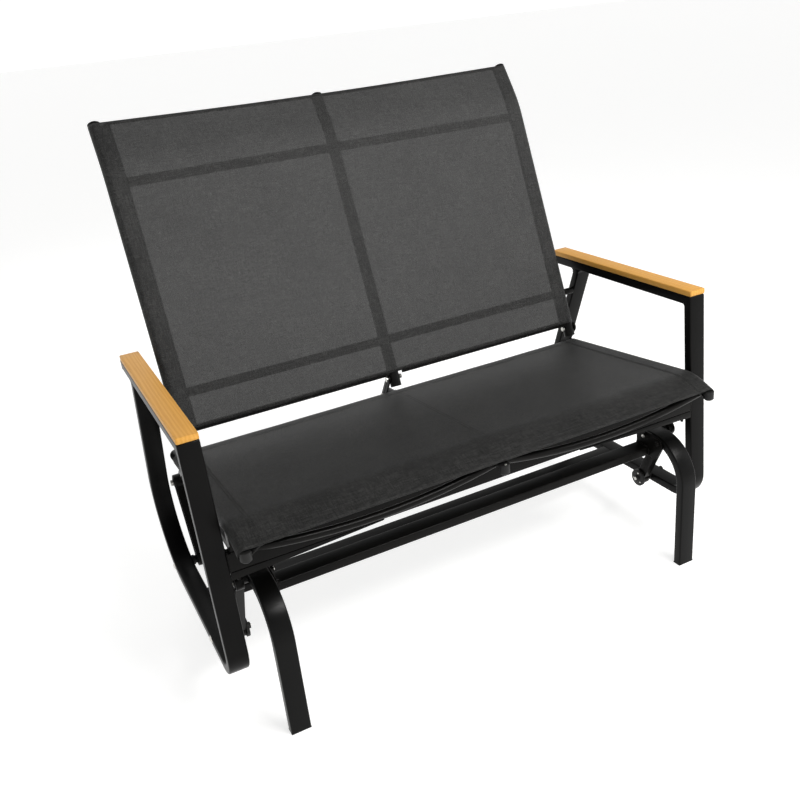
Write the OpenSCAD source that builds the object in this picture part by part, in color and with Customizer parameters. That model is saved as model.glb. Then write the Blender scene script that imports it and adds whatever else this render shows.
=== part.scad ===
// Two-seat glider bench: a steel base with two arched legs, four hanger links,
// and a swinging seat frame with sling seat, sling back and plank armrests.
// Millimetres. +Z up, front faces -Y, +X is the sitter's left.
// Origin: middle of the footprint, on the floor.

/* [Overall] */
// Outside width over the two side frames
frame_w = 1140; // [1000:10:1300]
// Width of the flat tube, seen from the front
tube_w = 40; // [36:1:44]
// Thickness of the flat tube
tube_t = 20; // [18:1:22]
// Wall of the flat tubes
wall = 1.5; // [1.2:0.1:2]
// Distance from the side frame to the base leg, where the hanger links swing
link_gap = 37; // [35:1:42]

/* [Base] */
// Depth of the base over both feet
base_d = 691; // [680:1:700]
// Height of the arched legs
base_h = 300; // [296:1:304]
// Outer bend radius of the arched legs
base_r = 100; // [90:2:110]
// Underside height of the base crossbars
cross_z = 244; // [240:1:250]

/* [Hanger links] */
// Half the distance between the upper pivots
pivot_top = 230; // [226:1:232]
// Half the distance between the lower pivots
pivot_low = 150.5; // [148:0.5:151]
// Height of the upper pivots
pivot_top_z = 290; // [289:0.5:291]
// Height of the lower pivots
pivot_low_z = 128; // [127:0.5:128.5]
// Pivot bolt diameter
bolt_d = 8; // [7:0.5:8]
// Radial running clearance of the bushes
run_fit = 0.05; // [0.03:0.01:0.08]
// Radial clearance of the front lower pivots
open_fit = 3.6; // [3.4:0.1:4]

/* [Side frames] */
// Top of the armrest planks
arm_z = 616; // [606:1:626]
// Length of the armrest planks
arm_l = 488; // [470:1:500]
// Armrest plank thickness
plank_t = 12; // [10:1:14]
// Underside of the lower rail
rail_z = 113; // [112:0.5:114]

/* [Seat and back] */
// Diameter of the round seat and back tubes
round_d = 25.4; // [24:0.2:26]
// Wall of the round tubes
round_wall = 1.2; // [1:0.1:1.6]
// Height of the back tubes at the top, without caps
back_top = 1057.7; // [1052:0.1:1062]
// Sag of the bowed spreader tubes under the seat
bow = 26; // [16:1:30]
// Thickness of the sling cloth
cloth_t = 2; // [1.4:0.1:2.4]

/* [Hidden] */

xo = frame_w / 2;                 // outer face of the side frames
xi = xo - tube_w;                 // inner face of the side frames
bo = xi - link_gap;               // outer face of the base legs
bi = bo - tube_w;                 // inner face of the base legs
y_mid = 357.6;                    // middle of the footprint, from the front feet
ym = base_d / 2;                  // middle of the linkage, from the front feet
yt_f = ym - pivot_top; yt_r = ym + pivot_top;
yl_f = ym - pivot_low; yl_r = ym + pivot_low;
lean = atan2(pivot_top - pivot_low, pivot_top_z - pivot_low_z);
link_len = norm([pivot_top - pivot_low, pivot_top_z - pivot_low_z]);
br = bolt_d / 2;
rr = round_d / 2;
seat_x = xi - 5.3 - rr;           // seat side rails
back_x = xi - 25.3 - rr;          // back side tubes
rear_c = [446, rail_z + 152];     // centre of the big rear bend
up_dir = [-0.3754, 0.9269];       // direction of the rear upright, going up
arm_y0 = 78; arm_y1 = arm_y0 + arm_l;
tube_top = arm_z - plank_t;       // top of the armrest tube
// centre line of the seat rails, rear to front
seat_pts = [[500, 390.465], [49.4, 434], [4.042, 416.549]];
// centre line of the back tubes, bottom to top
back_pts = [[449.1, 425], [658.9, 972.8], [658.9 + 0.7 * (back_top - 972.8), back_top]];
seg_n = 64;

steel = [0.10, 0.10, 0.105];
steel2 = [0.13, 0.13, 0.135];
zinc = [0.72, 0.72, 0.70];
plastic = [0.06, 0.06, 0.06];
wood = [0.86, 0.62, 0.32];
cloth = [0.20, 0.20, 0.21];

// ---------- plane geometry ----------
function unit(v) = v / norm(v);
function fil_d(a, b, c, r) = r / tan(acos(unit(a - b) * unit(c - b)) / 2);
function fil_t0(a, b, c, r) = b + unit(a - b) * fil_d(a, b, c, r);
function fil_t1(a, b, c, r) = b + unit(c - b) * fil_d(a, b, c, r);
function fil_c(a, b, c, r) = b + unit(unit(a - b) + unit(c - b)) * r / sin(acos(unit(a - b) * unit(c - b)) / 2);
function ang(v) = atan2(v[1], v[0]);
function norm_ang(a) = a > 180 ? a - 360 : (a < -180 ? a + 360 : a);
// ends of the straight stretch i of a path, between the fillets
function p_start(p, r, i) = i == 0 ? p[i] : fil_t1(p[i - 1], p[i], p[i + 1], r[i]);
function p_end(p, r, i) = i == len(p) - 2 ? p[i + 1] : fil_t0(p[i], p[i + 1], p[i + 2], r[i + 1]);
function fil_a0(p, r, i) = ang(fil_t0(p[i - 1], p[i], p[i + 1], r[i]) - fil_c(p[i - 1], p[i], p[i + 1], r[i]));
function fil_sweep(p, r, i) = norm_ang(ang(fil_t1(p[i - 1], p[i], p[i + 1], r[i]) - fil_c(p[i - 1], p[i], p[i + 1], r[i])) - fil_a0(p, r, i));
function left(a, b) = [-unit(b - a)[1], unit(b - a)[0]];
function turn(p, i) = norm_ang(ang(p[i + 1] - p[i]) - ang(p[i] - p[i - 1]));
// corner radius of an offset line; a negative radius in the path is a tight mitred bend,
// 4 mm round outside and 7 mm inside
function corner_q(r, s, off) = r >= 0 ? r - sign(s) * off : (sign(s) * off > 0 ? 17 - abs(off) : abs(off) - 6);
// points at a distance off to the left of a path, with rounded corners
function side_line(p, r, off) = concat(
    [p[0] + off * left(p[0], p[1])],
    [for (i = [1 : 1 : len(p) - 2]) let (n1 = left(p[i - 1], p[i]), n2 = left(p[i], p[i + 1]),
            v = p[i] + off * (n1 + n2) / (1 + n1 * n2), s = turn(p, i), q = corner_q(r[i], s, off),
            a = v + p[i - 1] - p[i], b = v + p[i + 1] - p[i], c = fil_c(a, v, b, q), a0 = ang(fil_t0(a, v, b, q) - c),
            n = r[i] < 0 ? 10 : max(6, ceil(abs(s) / 2)))
        for (k = [0 : n]) c + q * [cos(a0 + s * k / n), sin(a0 + s * k / n)]],
    [p[len(p) - 1] + off * left(p[len(p) - 2], p[len(p) - 1])]);
function reversed(v) = [for (i = [len(v) - 1 : -1 : 0]) v[i]];
// a flat band of thickness t that follows a path with rounded corners
module path_band(p, r, t) polygon(concat(side_line(p, r, t / 2), reversed(side_line(p, r, -t / 2))));

// places plane drawings so that x is Y, y is Z and the extrusion runs along +X
module yz(x0 = 0) translate([x0, -y_mid, 0]) rotate([90, 0, 90]) children();
module at(x, y, z) translate([x, y - y_mid, z]) children();
module both_sides() { children(); mirror([1, 0, 0]) children(); }

// a round bar of radius q along the same kind of path, drawn in the XY plane;
// each straight stretch ends a little way inside the bends beside it
lap = 0.5; ease = 0.03;
module round_bar(p, r, q, l = lap) {
    for (i = [0 : len(p) - 2]) {
        d = unit(p[i + 1] - p[i]);
        a = p_start(p, r, i) - (i == 0 ? 0 : l) * d; b = p_end(p, r, i) + (i == len(p) - 2 ? 0 : l) * d;
        translate([a[0], a[1], 0]) rotate([0, 0, ang(d)]) rotate([0, 90, 0]) rotate([0, 0, 45]) cylinder(h = norm(b - a), r = q, $fn = 48);
    }
    for (i = [1 : len(p) - 2]) {
        c = fil_c(p[i - 1], p[i], p[i + 1], r[i]); a0 = fil_a0(p, r, i); s = fil_sweep(p, r, i);
        translate([c[0], c[1], 0]) rotate([0, 0, s > 0 ? a0 : a0 + s])
            rotate_extrude(angle = abs(s), $fn = seg_n * 2) translate([r[i], 0]) circle(q + ease, $fn = 48);
    }
}
module round_tube(p, r, l = lap) {
    difference() { round_bar(p, r, rr, l); round_bar(p, r, rr - round_wall, l); }
}
// rectangular tube along X
module x_tube(x0, x1, y0, z0, dy, dz) {
    at(x0, y0, z0) difference() {
        cube([x1 - x0, dy, dz]);
        translate([-1, wall, wall]) cube([x1 - x0 + 2, dy - 2 * wall, dz - 2 * wall]);
    }
}
// a plate with round ends of radius q between two points
module strap(a, b, q) {
    t = ang(b - a);
    polygon(concat([for (k = [0 : 24]) a + q * [cos(t + 90 + k * 7.5), sin(t + 90 + k * 7.5)]],
        [for (k = [0 : 24]) b + q * [cos(t - 90 + k * 7.5), sin(t - 90 + k * 7.5)]]));
}
module x_bore(x0, x1, y, z, r) at(x0, y, z) rotate([0, 90, 0]) cylinder(h = x1 - x0, r = r, $fn = 48);
module hex_x(x0, h, y, z, af) at(x0, y, z) rotate([0, 90, 0]) cylinder(h = h, r = af / sqrt(3), $fn = 6);

// ---------- base ----------
base_pts = [[10, 3], [10, base_h - 10], [base_d - 10, base_h - 10], [base_d - 10, 3]];
base_fil = [0, base_r - tube_t / 2, base_r - tube_t / 2, 0];
module base_leg() {
    difference() {
        yz(bi) linear_extrude(tube_w) path_band(base_pts, base_fil, tube_t);
        yz(bi + wall) linear_extrude(tube_w - 2 * wall)
            path_band([[10, 2], base_pts[1], base_pts[2], [base_d - 10, 2]], base_fil, tube_t - 2 * wall);
        for (y = [yt_f, yt_r]) x_bore(bi - 1, bo + 1, y, pivot_top_z, br + 0.2);
        for (y = [76, base_d - 76]) x_bore(bi - 1, bi + 12, y, 284, 3.2);
    }
}
module left_base_leg() color(steel) mirror([1, 0, 0]) base_leg();
module right_base_leg() color(steel) base_leg();

// crossbar with a flange plate at each end, bolted to the inner side of the arches
module base_crossbar() {
    x_tube(-bi + 4, bi - 4, 104, cross_z, 40, 20);
    both_sides() difference() {
        yz(bi - 4) linear_extrude(4) polygon([[84, cross_z - 2], [146, cross_z - 2], [146, 299], [98, 299], [70, 291], [62, 276]]);
        x_bore(bi - 5, bi + 1, yt_f, pivot_top_z, br + 0.2);
        x_bore(bi - 5, bi + 1, 76, 284, 3.2);
    }
}
module front_base_crossbar() color(steel2) base_crossbar();
module rear_base_crossbar() color(steel2) translate([0, 2 * (ym - y_mid), 0]) mirror([0, 1, 0]) base_crossbar();

module foot_cap() {
    at(bi, 0, 0) cube([tube_w, tube_t, 3]);
    at(bi + wall + 0.2, wall + 0.2, 3) difference() {
        cube([tube_w - 2 * wall - 0.4, tube_t - 2 * wall - 0.4, 14]);
        translate([2, 2, 1]) cube([tube_w - 2 * wall - 4.4, tube_t - 2 * wall - 4.4, 14]);
    }
}
module foot_caps() color(plastic) both_sides() { foot_cap(); at(0, base_d - tube_t, 0) translate([0, y_mid, 0]) foot_cap(); }

module crossbar_bolts() color(zinc) both_sides() for (y = [76, base_d - 76]) {
    hex_x(bi - 4 - 4.5, 4.5, y, 284, 10);
    x_bore(bi - 4, bi + 10, y, 284, 3);
}

// ---------- pivots ----------
module upper_pivot_bolts() color(zinc) both_sides() for (y = [yt_f, yt_r]) {
    hex_x(bo + 28, 5.3, y, pivot_top_z, 13);
    x_bore(bi - 13, bo + 28, y, pivot_top_z, br);
}
module upper_pivot_nuts() color(zinc) both_sides() for (y = [yt_f, yt_r]) difference() {
    union() { hex_x(bi - 11.5, 6.5, y, pivot_top_z, 13); x_bore(bi - 5, bi - 4, y, pivot_top_z, 8); }
    x_bore(bi - 12, bi - 3, y, pivot_top_z, br + 0.02);
}
module lower_pivot_bolts() color(zinc) both_sides() for (y = [yl_f, yl_r]) {
    at(xo, y, pivot_low_z) rotate([0, 90, 0]) intersection() {
        cylinder(h = 3.4, r = 8, $fn = 48);
        translate([0, 0, -8.6]) sphere(12, $fn = 64);
    }
    x_bore(bo - 4, xo, y, pivot_low_z, br);
}
module lower_pivot_nuts() color(zinc) both_sides() for (y = [yl_f, yl_r]) difference() {
    union() {
        hex_x(bo - 3, 6, y, pivot_low_z, 13);
        difference() { x_bore(bo + 3, bo + 9.4, y, pivot_low_z, 20.5); x_bore(bo + 4.4, bo + 10, y, pivot_low_z, 18.5); }
    }
    x_bore(bo - 4, bo + 5, y, pivot_low_z, br + 0.02);
}

// stamped channel arm: flat web on the inner side, rim all round.
// s = +1 for a front link (lower end further back), -1 for a rear link
module link_outline(r_end, w) {
    circle(r_end, $fn = 64);
    translate([0, -link_len]) circle(r_end, $fn = 64);
    translate([-w / 2, -link_len]) square([w, link_len]);
}
module link(s, yt, low_r) {
    at(bo, yt, pivot_top_z) rotate([s * lean, 0, 0]) rotate([90, 0, 90]) difference() {
        union() {
            translate([0, 0, 10]) linear_extrude(3) link_outline(17, 25);
            translate([0, 0, 10]) linear_extrude(16) difference() { link_outline(17, 25); link_outline(14.4, 19.8); }
            for (q = [[0, 9 + 2.6], [-link_len, low_r + 2.6]]) translate([0, q[0], 10]) cylinder(h = 12, r = q[1], $fn = 64);
        }
        translate([0, 0, 9]) cylinder(h = 20, r = 9, $fn = 64);
        translate([0, -link_len, 9]) cylinder(h = 20, r = low_r, $fn = 64);
        translate([0, -link_len * 0.5, 9]) cylinder(h = 20, r = 4, $fn = 48);
    }
}
module flanged_bush(x0, x1, y, z, r, bore) difference() {
    union() { x_bore(x0, x1, y, z, r); x_bore(x1 - 5.2, x1, y, z, r + 2.2); }
    x_bore(x0 - 1, x1 + 1, y, z, bore);
}
module bushes(yt, yl, low_r, low_bore) {
    flanged_bush(bo + 0.6, bo + 27.4, yt, pivot_top_z, 9, br + run_fit);
    flanged_bush(bo + 4.8, xi - 0.6, yl, pivot_low_z, low_r, low_bore);
}
low_f = br + open_fit;
module front_left_link() color(steel2) mirror([1, 0, 0]) link(1, yt_f, low_f + 3);
module front_right_link() color(steel2) link(1, yt_f, low_f + 3);
module rear_left_link() color(steel2) mirror([1, 0, 0]) link(-1, yt_r, 9);
module rear_right_link() color(steel2) link(-1, yt_r, 9);
module front_left_bushes() color(plastic) mirror([1, 0, 0]) bushes(yt_f, yl_f, low_f + 3, low_f);
module front_right_bushes() color(plastic) bushes(yt_f, yl_f, low_f + 3, low_f);
module rear_left_bushes() color(plastic) mirror([1, 0, 0]) bushes(yt_r, yl_r, 9, br + run_fit);
module rear_right_bushes() color(plastic) bushes(yt_r, yl_r, 9, br + run_fit);

// ---------- side frames ----------
// one bent loop: armrest tube, front post, lower rail, big rear bend, upright
post_top = [90.5, tube_top - 10];
post_low = [60.5, rail_z + 10];
up_tan = rear_c + 142 * [up_dir[1], -up_dir[0]];
function up_at(z) = up_tan + up_dir * ((z - up_tan[1]) / up_dir[1]);
up_end = up_at(tube_top - tube_t - 4.5);
// where the lines of the lower rail and the upright cross
rear_v = up_tan - up_dir * ((up_tan[1] - rail_z - 10) / up_dir[1]);
loop_pts = [[arm_y1, tube_top - 10], [arm_y0 + 10, tube_top - 10], post_low, rear_v, up_end];
loop_fil = [0, -1, 52, 142, 0];
screw_y = [arm_y0 + 86, arm_y1 - 55];
module side_frame() {
    difference() {
        yz(xi) linear_extrude(tube_w) {
            path_band(loop_pts, loop_fil, tube_t);
            weld_z = tube_top - tube_t;
            polygon([up_at(weld_z - 13) - [8, 0], up_at(weld_z + 1) - [16, 0], up_at(weld_z + 1) + [16, 0], up_at(weld_z - 13) + [8, 0]]);
        }
        yz(xi + wall) linear_extrude(tube_w - 2 * wall)
            path_band([[arm_y1 + 1, tube_top - 10], loop_pts[1], loop_pts[2], loop_pts[3], up_end - up_dir * 16], loop_fil, tube_t - 2 * wall);
        for (y = [yl_f, yl_r]) x_bore(xi - 1, xo + 1, y, pivot_low_z, br + 0.2);
        for (y = screw_y) at(xi + 20, y, tube_top - tube_t - 1) cylinder(h = tube_t + 2, r = 2.7, $fn = 32);
        x_bore(xi - 1, xi + 5, back_hi[0], back_hi[1], 3.2);
    }
}
module left_side_frame() color(steel) mirror([1, 0, 0]) side_frame();
module right_side_frame() color(steel) side_frame();

module armrest() difference() {
    at(xi, arm_y0, tube_top) cube([tube_w, arm_l, plank_t]);
    for (y = screw_y) at(xi + 20, y, tube_top - 1) cylinder(h = plank_t - 2.4, r = 2.6, $fn = 32);
}
module left_armrest() color(wood) mirror([1, 0, 0]) armrest();
module right_armrest() color(wood) armrest();
module armrest_screws() color(zinc) both_sides() for (y = screw_y) {
    at(xi + 20, y, tube_top - tube_t - 2.4) cylinder(h = 2.4, r = 5, $fn = 32);
    at(xi + 20, y, tube_top - tube_t) cylinder(h = tube_t + plank_t - 4, r = 2.5, $fn = 32);
}
module armrest_end_plugs() color(plastic) both_sides() {
    at(xi, arm_y1, tube_top - tube_t) cube([tube_w, 2.5, tube_t]);
    at(xi + wall + 0.2, arm_y1 - 12, tube_top - tube_t + wall + 0.2) cube([tube_w - 2 * wall - 0.4, 12, tube_t - 2 * wall - 0.4]);
}

// ---------- cross rails of the swinging frame ----------
front_bolt_x = [xi - 15];
module front_cross_rail() color(steel2) difference() {
    x_tube(-xi, xi, 63, 345, 20, 40);
    for (x = front_bolt_x, s = [-1, 1]) at(s * x, 74, 344) cylinder(h = 4, r = 3.2, $fn = 32);
}
// tapered angle brackets under the ends of the front rail
module front_rail_brackets() color(steel2) both_sides() difference() {
    union() {
        translate([0, 66 - y_mid, 0]) rotate([90, 0, 0]) linear_extrude(3)
            polygon([[xi - 302, 345], [xi - 302, 343.5], [xi - 130, 334.5], [xi, 329], [xi, 345]]);
        at(xi - 145, 66, 342) cube([145, 17, 3]);
    }
    for (x = front_bolt_x) at(x, 74, 341) cylinder(h = 5, r = 3.2, $fn = 32);
}
module front_rail_bolts() color(zinc) both_sides() for (x = front_bolt_x) {
    at(x, 74, 320) cylinder(h = 31, r = 3, $fn = 32);
    at(x, 74, 334) cylinder(h = 8, r = 10 / sqrt(3), $fn = 6);
}
stub_x = [xi - 37, xi - 13];
module lower_cross_rail() color(steel2) difference() {
    x_tube(-xi, xi, ym - 20, rail_z, 40, 20);
    for (x = stub_x, s = [-1, 1]) at(s * x, ym - 21, rail_z + 10) rotate([-90, 0, 0]) cylinder(h = 42, r = 3.2, $fn = 32);
}
// stubs on the side frames that the lower rail slides over and is bolted to
module lower_rail_stubs() color(steel2) both_sides() difference() {
    at(xi - 50, ym - 20 + wall + 0.3, rail_z + wall + 0.3) cube([50, 40 - 2 * wall - 0.6, tube_t - 2 * wall - 0.6]);
    at(xi - 51, ym - 20 + wall + 3.3, rail_z + wall + 3.3) cube([48, 40 - 2 * wall - 6.6, tube_t - 2 * wall - 6.6]);
    for (x = stub_x) at(x, ym - 21, rail_z + 10) rotate([-90, 0, 0]) cylinder(h = 42, r = 3.2, $fn = 32);
}
module lower_rail_bolts() color(zinc) both_sides() for (x = stub_x) at(x, ym - 20, rail_z + 10) rotate([-90, 0, 0]) {
    translate([0, 0, -4.5]) cylinder(h = 4.5, r = 10 / sqrt(3), $fn = 6);
    cylinder(h = 47, r = 3, $fn = 32);
    translate([0, 0, 40]) cylinder(h = 5, r = 10 / sqrt(3), $fn = 6);
}

// ---------- seat ----------
seat_fil = [0, 100, 0];
module seat_rail(x, holes) difference() {
    yz(x) round_tube(seat_pts, seat_fil, 0.8);
    for (q = holes) x_bore(x - 20, x + 20, q[0], q[1], 3.2);
}
module seat_solid(x, q) yz(x) round_bar(seat_pts, seat_fil, q);
module seat_left_rail() color(steel) seat_rail(-seat_x, []);
module seat_right_rail() color(steel) seat_rail(seat_x, []);
module seat_centre_rail() color(steel) seat_rail(0, [centre_lo]);
module seat_rail_supports() color(steel2) for (x = [-seat_x, 0, seat_x]) difference() {
    at(x - 10, 63, 385) cube([20, 20, 40]);
    seat_solid(x, rr);
}
// round caps on the open front ends of the seat rails
front_dir = unit(seat_pts[2] - seat_pts[1]);
// moulded end fittings: a plug in the rail with a short upright boss in front
module end_boss(x, z0, z1) intersection() {
    at(x - 20, -30, z0) cube([40, 60, z1 - z0]);
    union() {
        difference() {
            union() {
                at(x, -4.25, z0) cylinder(h = 3, r1 = 7.5, r2 = 10.5, $fn = 64);
                at(x, -4.25, z0 + 3) cylinder(h = z1 - z0 - 3, r = 10.5, $fn = 64);
            }
            seat_solid(x, rr + 0.1);
        }
        yz(x) translate([seat_pts[2][0], seat_pts[2][1], 0]) rotate([0, 0, ang(front_dir)]) rotate([0, 90, 0])
            translate([0, 0, -12]) cylinder(h = 20, r = rr - round_wall - 0.1, $fn = 48);
    }
}
module seat_rail_caps() color(plastic) {
    for (x = [-seat_x, seat_x]) end_boss(x, 402, 421.5);
    end_boss(0, 396.5, 418);
}
// bowed tubes between the rails, their ends shaped to the rails
function seat_z(y) = 434 - (y - 49.4) * 47.4 / 490.6;
module spreader(y, zc, q) {
    h = seat_x / 2; n = bow;
    difference() {
        translate([0, y - y_mid, zc]) rotate([90, 0, 0]) round_bar([[2, 0], [h, -2 * n], [seat_x - 2, 0]], [0, h / tan(asin(2 * n / norm([h, 2 * n]))) * 0.98, 0], q);
        seat_solid(0, rr); seat_solid(seat_x, rr);
    }
}
module front_seat_spreaders() color(steel2) both_sides() difference() { spreader(14, 416, 8); spreader(14, 416, 6.8); }

// ---------- back ----------
back_fil = [0, 260, 0];
module back_tube(x, holes, p = back_pts) difference() {
    yz(x) round_tube(p, back_fil);
    for (q = holes) x_bore(x - 20, x + 20, q[0], q[1], 3.2);
}
function back_y(z) = 449.1 + (z - 425) * 209.8 / 547.8;
top_dir = unit(back_pts[2] - back_pts[1]);
// the middle tube is 6 mm shorter
back_mid_pts = [back_pts[0], back_pts[1], back_pts[2] - 6 * top_dir];
back_lo = [back_y(444), 444];
back_hi = [back_y(527), 527];
module back_left_tube() color(steel) back_tube(-back_x, [back_lo, back_hi]);
module back_right_tube() color(steel) back_tube(back_x, [back_lo, back_hi]);
module back_centre_tube() color(steel) back_tube(0, [back_lo], back_mid_pts);
module back_tube_caps() color(plastic) for (x = [-back_x, 0, back_x]) let (q = x == 0 ? back_mid_pts[2] : back_pts[2])
    yz(x) translate([q[0], q[1], 0]) rotate([0, 0, ang(top_dir)]) rotate([0, 90, 0]) {
        cylinder(h = 1.4, r = rr + 0.6, $fn = 48);
        translate([0, 0, 1.4]) cylinder(h = 2, r1 = rr + 0.6, r2 = rr - 2, $fn = 48);
        translate([0, 0, -12]) cylinder(h = 12, r = rr - round_wall - 0.1, $fn = 48);
    }
// crossbars between the tubes, ends shaped to the tubes; bore_q > 0 gives
// solid outer ends with a threaded bore
module back_bars(z, bore_q) both_sides() difference() {
    x_bore(1, back_x - 1, back_y(z), z, 10);
    x_bore(0, back_x - rr - (bore_q > 0 ? 26 : -20), back_y(z), z, 8.8);
    if (bore_q > 0) x_bore(back_x - rr - 30, back_x, back_y(z), z, bore_q);
    for (x = [0, back_x]) yz(x) round_bar(back_pts, back_fil, rr);
}
module back_upper_crossbars() color(steel2) back_bars(945, 0);
module back_lower_crossbars() color(steel2) back_bars(back_hi[1], 3.02);

// plates from the foot of each side tube down to the top of the seat rail
module back_side_brackets() color(steel2) both_sides() difference() {
    yz(back_x + rr + 0.3) linear_extrude(4) strap(back_lo, [483, 402], 11);
    x_bore(back_x, xi, back_lo[0], back_lo[1], 3.2);
    seat_solid(seat_x, rr);
}
module back_spacers() color(steel2) both_sides() x_pipe(back_x + rr, xi, back_hi[0], back_hi[1], 8, 4.8);
module back_studs() color(zinc) both_sides() x_bore(back_x - rr - 18, xi + 12, back_hi[0], back_hi[1], 3);
module x_pipe(x0, x1, y, z, q, w) difference() { x_bore(x0, x1, y, z, q); x_bore(x0 - 1, x1 + 1, y, z, q - w); }
// plate on the side of the middle tube, down to the middle seat rail behind the cloth
centre_lo = [492, 391];
module back_centre_bracket() color(steel2) difference() {
    yz(-rr - 4.3) linear_extrude(4) strap(back_lo, centre_lo, 9);
    for (q = [back_lo, centre_lo]) x_bore(-20, 0, q[0], q[1], 3.2);
}
module back_bolts() color(zinc) {
    both_sides() {
        x_bore(back_x + rr + 4.3, back_x + rr + 8.3, back_lo[0], back_lo[1], 6);
        x_bore(back_x - rr - 5, back_x + rr + 4.3, back_lo[0], back_lo[1], 3);
        hex_x(back_x - rr - 4.7, 4.5, back_lo[0], back_lo[1], 10);
    }
    x_bore(-rr - 8.3, -rr - 4.3, back_lo[0], back_lo[1], 6);
    x_bore(-rr - 4.3, rr + 5, back_lo[0], back_lo[1], 3);
    hex_x(rr + 0.2, 4.5, back_lo[0], back_lo[1], 10);
    x_bore(-rr - 8.3, -rr - 4.3, centre_lo[0], centre_lo[1], 6);
    x_bore(-rr - 4.3, rr + 5, centre_lo[0], centre_lo[1], 3);
    hex_x(rr + 0.2, 4.5, centre_lo[0], centre_lo[1], 10);
}
// rods in the lower hem of the back cloth
module back_hem_rods() color(steel2) both_sides() x_bore(17.8, back_x - 14.5, 446.7, 457.9, 3);

// ---------- sling cloth ----------
// centre line of the cloth, lying on the rails
function shift(p, d) = [for (q = p) q + d];
cl_off = rr + 0.3 + cloth_t / 2;
module seat_sling() color(cloth) yz(-seat_x - rr) linear_extrude(2 * (seat_x + rr))
    path_band([[464, seat_z(464) + cl_off], seat_pts[1] + cl_off * [-0.13, 1.0], [-7, 412.3] + cl_off * [front_dir[1], -front_dir[0]] - 6 * front_dir], [0, 100 + cl_off, 0], cloth_t);
low_dir = unit(back_pts[1] - back_pts[0]);
mid_n = unit([-low_dir[1] - top_dir[1], low_dir[0] + top_dir[0]]);
module back_sling() color(cloth) yz(-back_x - rr) linear_extrude(2 * (back_x + rr))
    path_band([[back_y(456), 456] + cl_off * [-low_dir[1], low_dir[0]], back_pts[1] + cl_off * mid_n / (mid_n * [-low_dir[1], low_dir[0]]), back_pts[2] + cl_off * [-top_dir[1], top_dir[0]] - 3 * top_dir], [0, 260 + cl_off, 0], cloth_t);

left_base_leg();
right_base_leg();
front_base_crossbar();
rear_base_crossbar();
foot_caps();
crossbar_bolts();
upper_pivot_bolts();
upper_pivot_nuts();
front_left_link();
front_right_link();
rear_left_link();
rear_right_link();
front_left_bushes();
front_right_bushes();
rear_left_bushes();
rear_right_bushes();
lower_pivot_bolts();
lower_pivot_nuts();
left_side_frame();
right_side_frame();
left_armrest();
right_armrest();
armrest_screws();
armrest_end_plugs();
front_cross_rail();
front_rail_brackets();
front_rail_bolts();
lower_cross_rail();
lower_rail_stubs();
lower_rail_bolts();
seat_left_rail();
seat_right_rail();
seat_centre_rail();
seat_rail_supports();
seat_rail_caps();
front_seat_spreaders();
back_left_tube();
back_right_tube();
back_centre_tube();
back_tube_caps();
back_upper_crossbars();
back_lower_crossbars();
back_side_brackets();
back_centre_bracket();
back_spacers();
back_studs();
back_bolts();
back_hem_rods();
seat_sling();
back_sling();
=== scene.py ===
"""Looks of the two-seat glider bench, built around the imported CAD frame."""
import math
import random

import bpy
import numpy as np
from mathutils import Matrix, Vector


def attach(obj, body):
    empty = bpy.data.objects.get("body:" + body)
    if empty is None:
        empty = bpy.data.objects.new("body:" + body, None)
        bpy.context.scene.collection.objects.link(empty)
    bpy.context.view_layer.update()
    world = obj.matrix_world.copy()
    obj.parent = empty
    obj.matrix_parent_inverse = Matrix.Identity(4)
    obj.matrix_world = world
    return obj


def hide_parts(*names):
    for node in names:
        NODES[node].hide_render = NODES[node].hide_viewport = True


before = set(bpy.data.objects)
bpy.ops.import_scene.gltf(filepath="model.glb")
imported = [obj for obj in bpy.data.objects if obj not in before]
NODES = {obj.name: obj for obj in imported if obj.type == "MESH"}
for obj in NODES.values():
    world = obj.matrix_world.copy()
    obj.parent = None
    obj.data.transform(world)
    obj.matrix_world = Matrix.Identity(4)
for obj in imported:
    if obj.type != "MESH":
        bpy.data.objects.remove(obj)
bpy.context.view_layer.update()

YM = 357.6  # the CAD's middle of the footprint, in millimetres behind the front feet
MM = 0.001


def V(x, y, z):
    """Millimetres, y measured from the front of the front feet, to metres in the frame."""
    return (x * MM, (y - YM) * MM, z * MM)


def unit(v):
    v = np.asarray(v, float)
    return v / np.linalg.norm(v)


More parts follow.
